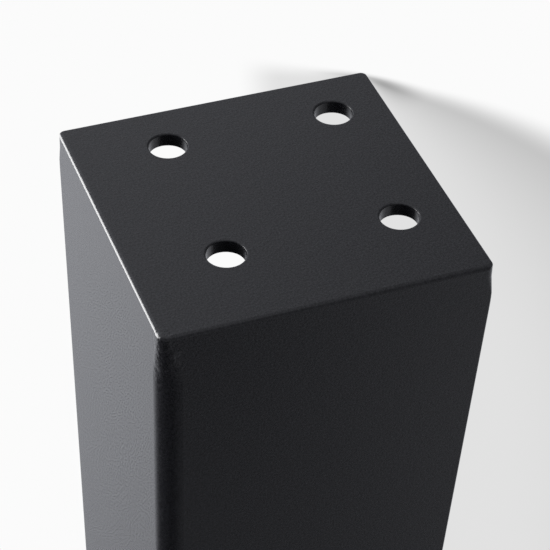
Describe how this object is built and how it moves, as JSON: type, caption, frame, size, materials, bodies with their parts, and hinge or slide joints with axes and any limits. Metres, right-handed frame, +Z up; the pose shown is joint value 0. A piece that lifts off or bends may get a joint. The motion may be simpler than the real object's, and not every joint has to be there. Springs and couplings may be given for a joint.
{
  "type": "tapered table leg",
  "caption": "Tapered table leg of folded sheet steel: an open angle of two tapering flanges with a square plate welded on top, drilled for table screws.",
  "frame": {"origin": "middle of the four-hole pattern, on the upper face of the plate, which lies against the table top", "axes": "+Z up into the table top, along the fold of the leg; the two flanges stand on the -X and -Y sides, and their fold is the outer corner at -X -Y"},
  "size_m": [0.075, 0.075, 0.71],
  "materials": {
    "powder_coat": "black fine-texture powder coat, satin"
  },
  "bodies": {
    "root": {"top_plate": "powder_coat", "folded_angle": "powder_coat", "inner_weld": "powder_coat"}
  },
  "joints": []
}
